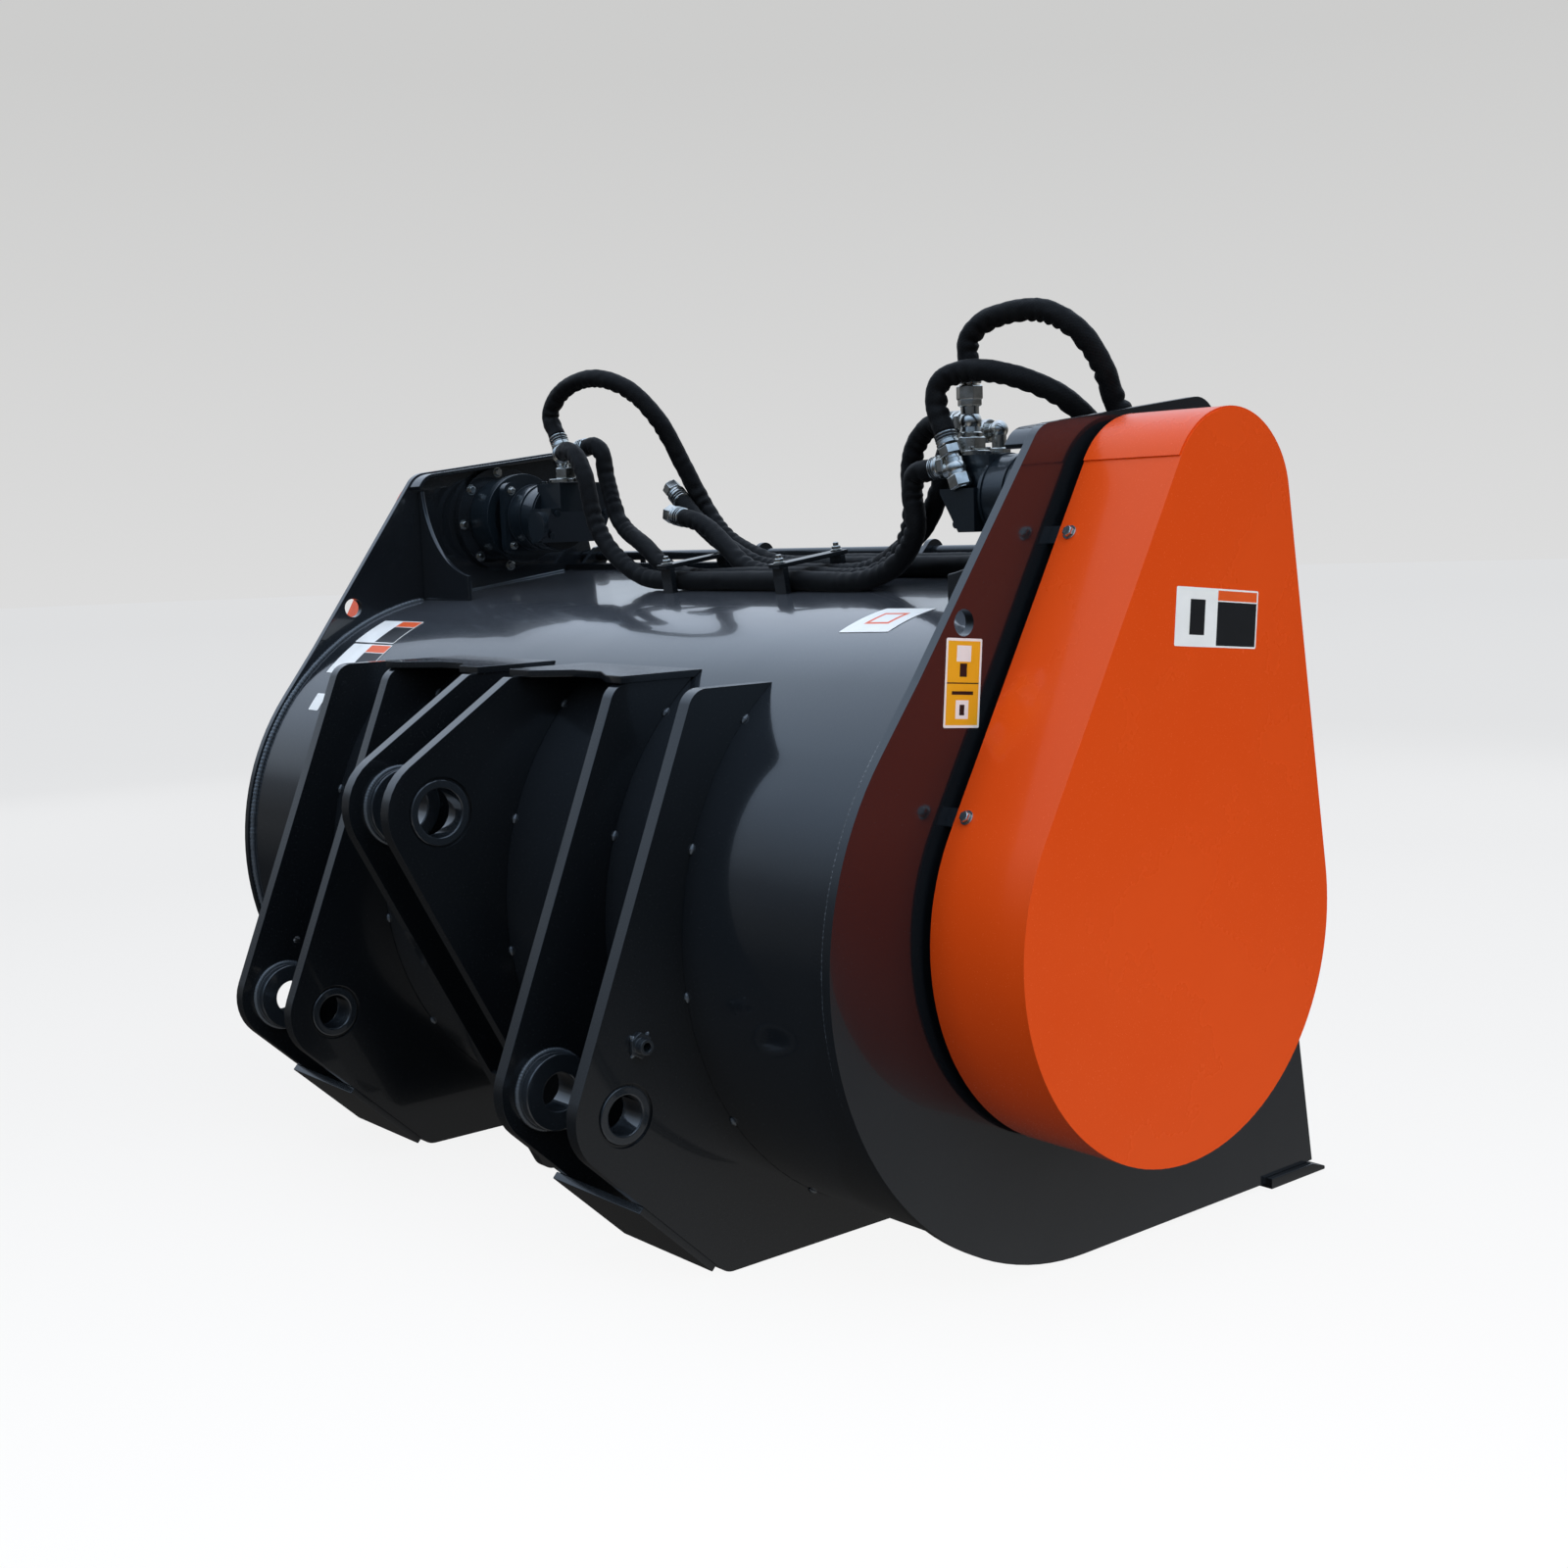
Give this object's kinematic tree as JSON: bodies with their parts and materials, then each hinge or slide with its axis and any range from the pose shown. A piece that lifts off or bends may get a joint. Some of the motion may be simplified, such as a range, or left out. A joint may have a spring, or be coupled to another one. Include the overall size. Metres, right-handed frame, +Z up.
{
  "type": "concrete mixing bucket",
  "caption": "Loader bucket that mixes concrete: drum with a front mouth and grate, chain driven spiral rotor, hydraulic motors, hoses, and rear ears for boom and tilt pins.",
  "frame": {"origin": "centre of the bounding box of the rigid parts, on the ground", "axes": "+X along the drum axis, +Y out of the mouth, +Z up"},
  "size_m": [2.192, 1.3038, 1.4636],
  "materials": {
    "drum_paint": "gloss",
    "bracket_paint": "gloss",
    "cover_paint": "gloss",
    "motor_paint": "satin",
    "zinc_plate": "bright zinc",
    "worn_steel": "worn",
    "chain_steel": "oiled",
    "seal_rubber": "matte",
    "hose_sleeve": "woven"
  },
  "bodies": {
    "bucket": {"drum_shell": "drum_paint", "floor_plate": "drum_paint", "cutting_edge": "bracket_paint", "end_plate_left": "drum_paint", "end_plate_right": "drum_paint", "side_cutters": "drum_paint", "front_beam": "drum_paint", "boom_ear_1": "bracket_paint", "boom_ear_2": "bracket_paint", "boom_ear_3": "bracket_paint", "boom_ear_4": "bracket_paint", "tilt_ear_left": "bracket_paint", "tilt_ear_right": "bracket_paint", "boom_bosses": "bracket_paint", "tilt_bosses": "bracket_paint", "pin_lock_bosses": "bracket_paint", "top_ties": "bracket_paint", "stop_plates": "bracket_paint", "tilt_web": "bracket_paint", "head_gussets": "drum_paint", "head_flanges": "drum_paint", "cover_tabs": "drum_paint", "chain_cover_left": "cover_paint", "chain_cover_right": "cover_paint", "cover_bolts": "zinc_plate", "motor_discs": "drum_paint", "motor_adapters": "motor_paint", "motor_left": "motor_paint", "motor_right": "motor_paint", "motor_bolts": "zinc_plate", "fittings_left": "zinc_plate", "fittings_right": "zinc_plate", "clamp_posts": "bracket_paint", "clamp_bars": "bracket_paint", "clamp_bolts": "zinc_plate", "bearing_housings": "motor_paint", "bearing_bolts": "zinc_plate", "shaft_seals": "seal_rubber", "chain_left": "chain_steel", "chain_right": "chain_steel", "hinge_lugs": "bracket_paint", "grate_stops": "bracket_paint", "hose_1": "hose_sleeve", "hose_2": "hose_sleeve", "hose_3": "hose_sleeve", "hose_4": "hose_sleeve", "hose_5": "hose_sleeve", "hose_ends": "zinc_plate"},
    "rotor": {"rotor_shaft": "worn_steel", "rotor_arms": "worn_steel", "spiral_left": "worn_steel", "spiral_right": "worn_steel", "driven_sprocket_left": "worn_steel", "driven_sprocket_right": "worn_steel"},
    "drive_left": {"drive_shaft_left": "worn_steel", "drive_sprocket_left": "worn_steel"},
    "drive_right": {"drive_shaft_right": "worn_steel", "drive_sprocket_right": "worn_steel"},
    "grate": {"grate_frame": "bracket_paint", "grate_bars": "bracket_paint"}
  },
  "joints": [
    {"name": "rotor_turn", "type": "hinge", "parent": "bucket", "child": "rotor", "pos_m": [0, 0.047, 0.508], "axis": [1, 0, 0], "continuous": true},
    {"name": "drive_left_turn", "type": "hinge", "parent": "bucket", "child": "drive_left", "pos_m": [-0.9, 0.177, 1.16], "axis": [1, 0, 0], "continuous": true},
    {"name": "drive_right_turn", "type": "hinge", "parent": "bucket", "child": "drive_right", "pos_m": [0.9, 0.177, 1.16], "axis": [1, 0, 0], "continuous": true},
    {"name": "grate_hinge", "type": "hinge", "parent": "bucket", "child": "grate", "pos_m": [0, 0.397, 1.072], "axis": [1, 0, 0], "range_deg": [0, 120]}
  ],
  "couplings": [
    {"joint": "drive_left_turn", "follows": "rotor_turn", "ratio": 3.5},
    {"joint": "drive_right_turn", "follows": "rotor_turn", "ratio": 3.5}
  ]
}
